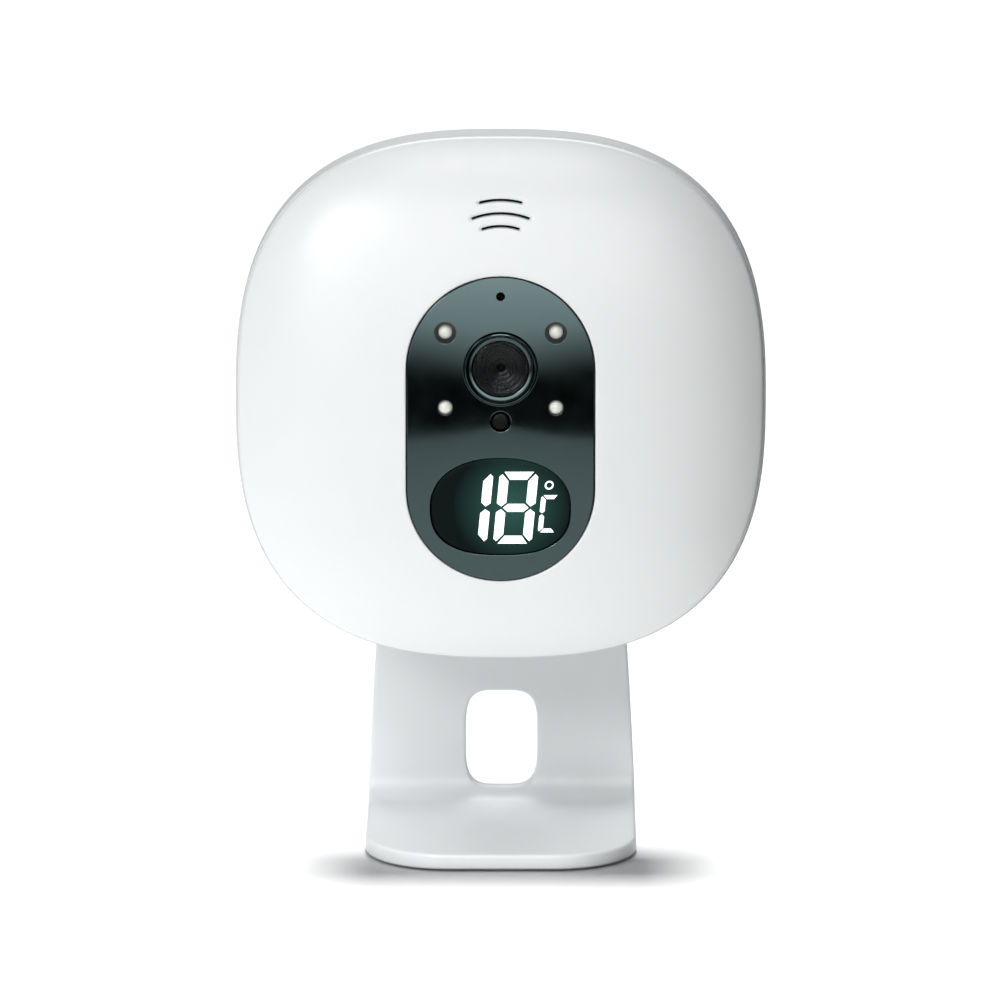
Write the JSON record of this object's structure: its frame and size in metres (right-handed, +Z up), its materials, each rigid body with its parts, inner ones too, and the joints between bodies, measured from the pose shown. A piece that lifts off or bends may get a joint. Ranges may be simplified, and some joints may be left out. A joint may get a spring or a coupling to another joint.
{
  "type": "baby monitor camera",
  "caption": "Camera with a squared round white head, a dark stadium window with lens, lamps and display, tilting on a bent strap stand with a cable hole.",
  "frame": {"origin": "on the surface it stands on, under the middle of the whole object", "axes": "+Z up, -Y the way the lens looks, +X to the right of a viewer who faces the lens"},
  "size_m": [0.1146, 0.0574, 0.1599],
  "materials": {
    "stand_shell": "satin moulded shell",
    "housing_shell": "satin moulded shell",
    "cover_shell": "smooth white shell",
    "window_black": "polished dark panel",
    "black_plastic": "matte",
    "smoked_plastic": "dark, part see-through",
    "clear_glass": "polished",
    "clear_resin": "clear moulded resin",
    "circuit_board": "green solder mask",
    "steel": "plain",
    "rubber": "matte",
    "soft_washer": "foam and fibre",
    "ribbon_film": "flexible film"
  },
  "bodies": {
    "stand": {"stand": "stand_shell", "foot_pad_1": "rubber", "foot_pad_2": "rubber", "foot_pad_3": "rubber", "foot_pad_4": "rubber"},
    "head": {"antenna": "circuit_board", "board_screw_1": "steel", "board_screw_2": "steel", "camera_board": "circuit_board", "camera_ribbon": "ribbon_film", "dc_jack": "black_plastic", "display_board": "circuit_board", "display_lens": "smoked_plastic", "display_module": "black_plastic", "friction_washer_left": "soft_washer", "friction_washer_right": "soft_washer", "front_board": "circuit_board", "front_cover": "cover_shell", "hinge_bolt": "steel", "hinge_cap_left": "housing_shell", "hinge_cap_right": "housing_shell", "hinge_nut": "steel", "housing_screw_1": "steel", "housing_screw_2": "steel", "housing_screw_3": "steel", "housing_screw_4": "steel", "image_sensor": "black_plastic", "infrared_lamp_lower_left": "clear_resin", "infrared_lamp_lower_right": "clear_resin", "infrared_lamp_upper_left": "clear_resin", "infrared_lamp_upper_right": "clear_resin", "lens_baffle": "black_plastic", "lens_barrel": "black_plastic", "lens_glass": "clear_glass", "lens_holder": "black_plastic", "lens_ring": "window_black", "light_sensor": "smoked_plastic", "main_board": "circuit_board", "microphone": "steel", "pair_switch": "black_plastic", "power_switch": "black_plastic", "processor": "black_plastic", "rear_housing": "housing_shell", "sensor_jack": "black_plastic", "shield_can": "steel", "speaker_cone": "black_plastic", "speaker_frame": "steel", "speaker_gasket": "soft_washer", "speaker_magnet": "steel", "temperature_sensor": "black_plastic", "window_panel": "window_black"},
    "power_button": {"power_button": "housing_shell"},
    "pair_button": {"pair_button": "housing_shell"}
  },
  "joints": [
    {"name": "head_tilt", "type": "hinge", "parent": "stand", "child": "head", "pos_m": [0, 0.0217, 0.082], "axis": [1, 0, 0], "range_deg": [-25, 25]},
    {"name": "power_press", "type": "slide", "parent": "head", "child": "power_button", "axis": [0, -0.999, 0.0436], "range_m": [0, 0.0008], "stiffness_N_per_m": 1000, "springref_m": -0.0005},
    {"name": "pair_press", "type": "slide", "parent": "head", "child": "pair_button", "axis": [0, -0.999, 0.0436], "range_m": [0, 0.0008], "stiffness_N_per_m": 1000, "springref_m": -0.0005}
  ]
}
